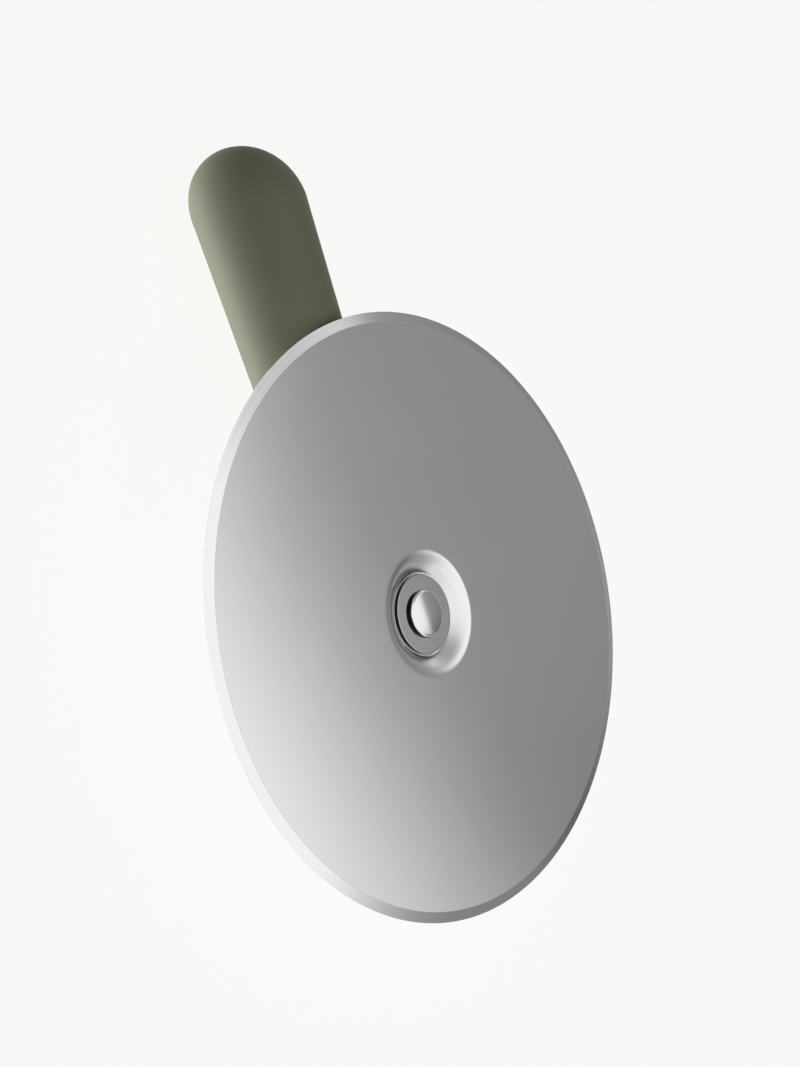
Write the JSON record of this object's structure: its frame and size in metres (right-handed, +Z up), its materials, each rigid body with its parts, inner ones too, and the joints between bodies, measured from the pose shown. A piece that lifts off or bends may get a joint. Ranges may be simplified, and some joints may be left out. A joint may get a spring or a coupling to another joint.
{
  "type": "pizza cutter",
  "caption": "Pizza cutter: round bevelled steel wheel with a pressed hub dish, turning on a flanged sleeve beside the end of a soft olive-green tapered handle",
  "frame": {"origin": "on the surface that the tool lies on, under the middle of its overall length and in its plane of symmetry", "axes": "+X runs along the handle from the wheel to the far end, +Z is up with the wheel's face on top and the line of the handle's back on z = 0, Y is across; the wheel's axis leans 3.07 degrees from +Z towards -X"},
  "size_m": [0.145, 0.11, 0.0221],
  "materials": {
    "blade_steel": "satin stainless sheet with a finely ground bevel",
    "ring_steel": "blackened steel with ground, satin faces",
    "polished_steel": "softly polished stainless dome with a blackened side",
    "fastener_steel": "plain machined stainless",
    "spring_steel": "rolled steel strip",
    "insert_brass": "turned brass",
    "bearing_plastic": "natural white acetal",
    "core_plastic": "glass-filled nylon, dark olive",
    "soft_grip": "smooth matt soft-touch skin, olive green"
  },
  "bodies": {
    "handle": {"axle_sleeve": "ring_steel", "axle_screw": "fastener_steel", "cap": "polished_steel", "front_washer": "bearing_plastic", "rear_washer": "bearing_plastic", "wave_spring": "spring_steel", "seat_washer": "ring_steel", "threaded_insert": "insert_brass", "stiffening_bar": "spring_steel", "core_front": "core_plastic", "core_back": "core_plastic", "core_screws": "fastener_steel", "core_dowels": "fastener_steel", "grip_skin": "soft_grip"},
    "wheel": {"blade": "blade_steel", "blade_bush": "bearing_plastic"}
  },
  "joints": [
    {"name": "wheel_spin", "type": "hinge", "parent": "handle", "child": "wheel", "pos_m": [-0.01765, 0, 0.01925], "axis": [-0.0536, 0, 0.9986], "continuous": true}
  ]
}
